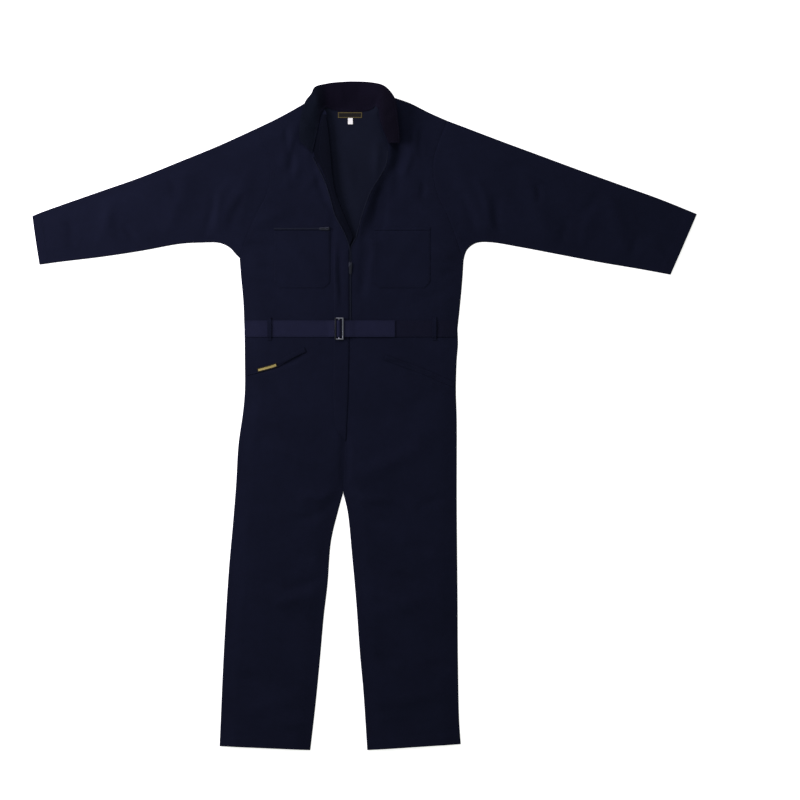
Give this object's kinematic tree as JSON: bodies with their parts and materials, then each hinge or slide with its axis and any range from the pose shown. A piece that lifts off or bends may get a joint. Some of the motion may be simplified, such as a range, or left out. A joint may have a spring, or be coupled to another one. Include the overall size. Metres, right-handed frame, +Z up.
{
  "type": "boiler suit",
  "caption": "Laid-flat navy twill work coverall with funnel collar, front zip open to the chest, zipped chest pocket, slant side pockets and a buckled belt.",
  "frame": {"origin": "on the surface that the suit is laid on, under the middle of its outline seen from above", "axes": "+X to the wearer's left, +Y from the hems to the collar, +Z up from the surface, out of the front"},
  "size_m": [1.661, 1.6698, 0.0381],
  "materials": {
    "navy_twill": "matt twill",
    "navy_inside": "matt twill, wrong side",
    "navy_collar": "matt twill",
    "zip_tape": "woven tape with moulded teeth",
    "steel": "satin",
    "gold_ribbon": "woven ribbon",
    "label_black": "woven satin, bare",
    "label_white": "woven, bare"
  },
  "bodies": {
    "suit": {"front_bodice_wearer_right": "navy_twill", "front_bodice_wearer_left": "navy_twill", "back_bodice": "navy_inside", "sleeve_wearer_right": "navy_twill", "sleeve_wearer_left": "navy_twill", "trouser_front_wearer_right": "navy_twill", "trouser_back_wearer_right": "navy_twill", "trouser_front_wearer_left": "navy_twill", "trouser_back_wearer_left": "navy_twill", "collar": "navy_collar", "front_facing_wearer_right": "navy_inside", "front_placket": "navy_twill", "zip_tape_open_wearer_right": "zip_tape", "zip_tape_open_wearer_left": "zip_tape", "zip_chain_closed": "zip_tape", "zip_slider": "steel", "chest_pocket_slider": "steel", "chest_pocket_wearer_right": "navy_twill", "chest_pocket_zip_wearer_right": "zip_tape", "chest_pocket_wearer_left": "navy_twill", "chest_pocket_welt_wearer_left": "navy_twill", "side_pocket_welt_wearer_right": "navy_twill", "side_pocket_welt_wearer_left": "navy_twill", "side_pocket_tab": "gold_ribbon", "belt_strap_wearer_left": "navy_twill", "belt_strap_wearer_right": "navy_twill", "belt_buckle": "steel", "belt_loop_wearer_right": "navy_twill", "belt_loop_wearer_left": "navy_twill", "neck_label": "label_black", "size_tab": "label_white"},
    "zip_pull": {"zip_pull_tab": "steel"},
    "chest_pocket_pull": {"chest_pocket_pull_tab": "steel"}
  },
  "joints": [
    {"name": "zip_pull_hinge", "type": "hinge", "parent": "suit", "child": "zip_pull", "pos_m": [-0.0355, 0.3779, 0.0093], "axis": [-1, 0, 0], "range_deg": [0, 165]},
    {"name": "chest_pocket_pull_hinge", "type": "hinge", "parent": "suit", "child": "chest_pocket_pull", "pos_m": [-0.0935, 0.4674, 0.01081], "axis": [0, 1, 0], "range_deg": [0, 165]}
  ]
}
